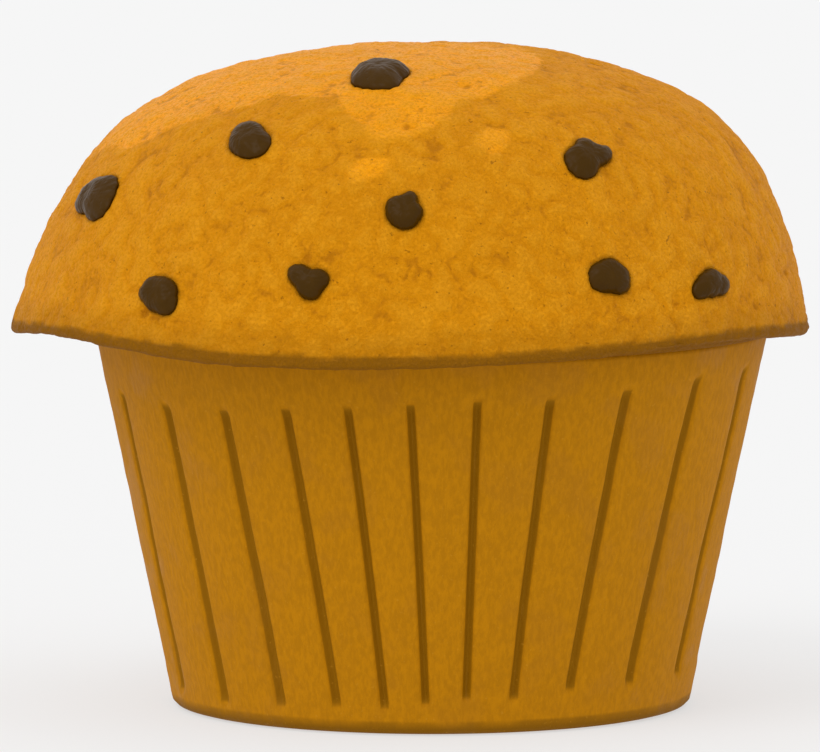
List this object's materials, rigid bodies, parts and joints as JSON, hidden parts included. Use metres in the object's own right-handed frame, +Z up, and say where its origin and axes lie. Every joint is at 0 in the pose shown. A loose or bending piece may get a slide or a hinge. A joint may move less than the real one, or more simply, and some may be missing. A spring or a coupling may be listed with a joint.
{
  "type": "muffin",
  "caption": "Chocolate-chip muffin with a broad domed crust overhanging a pleated brown paper baking case with a flat round base.",
  "frame": {"origin": "centre of the flat round underside of the paper case, on the surface the muffin stands on", "axes": "+Z up through the crown, -Y towards the viewed front, +X to the right seen from the front"},
  "size_m": [0.0788, 0.0786, 0.0652],
  "materials": {
    "crust": "matte",
    "paper": "matte",
    "chocolate": "satin"
  },
  "bodies": {
    "root": {"muffin": "crust", "paper_case": "paper", "chocolate_chip_01": "chocolate", "chocolate_chip_02": "chocolate", "chocolate_chip_03": "chocolate", "chocolate_chip_04": "chocolate", "chocolate_chip_05": "chocolate", "chocolate_chip_06": "chocolate", "chocolate_chip_07": "chocolate", "chocolate_chip_08": "chocolate", "chocolate_chip_09": "chocolate", "chocolate_chip_10": "chocolate", "chocolate_chip_11": "chocolate", "chocolate_chip_12": "chocolate", "chocolate_chip_13": "chocolate", "chocolate_chip_14": "chocolate", "chocolate_chip_15": "chocolate", "chocolate_chip_16": "chocolate", "chocolate_chip_17": "chocolate", "chocolate_chip_18": "chocolate", "chocolate_chip_19": "chocolate"}
  },
  "joints": []
}
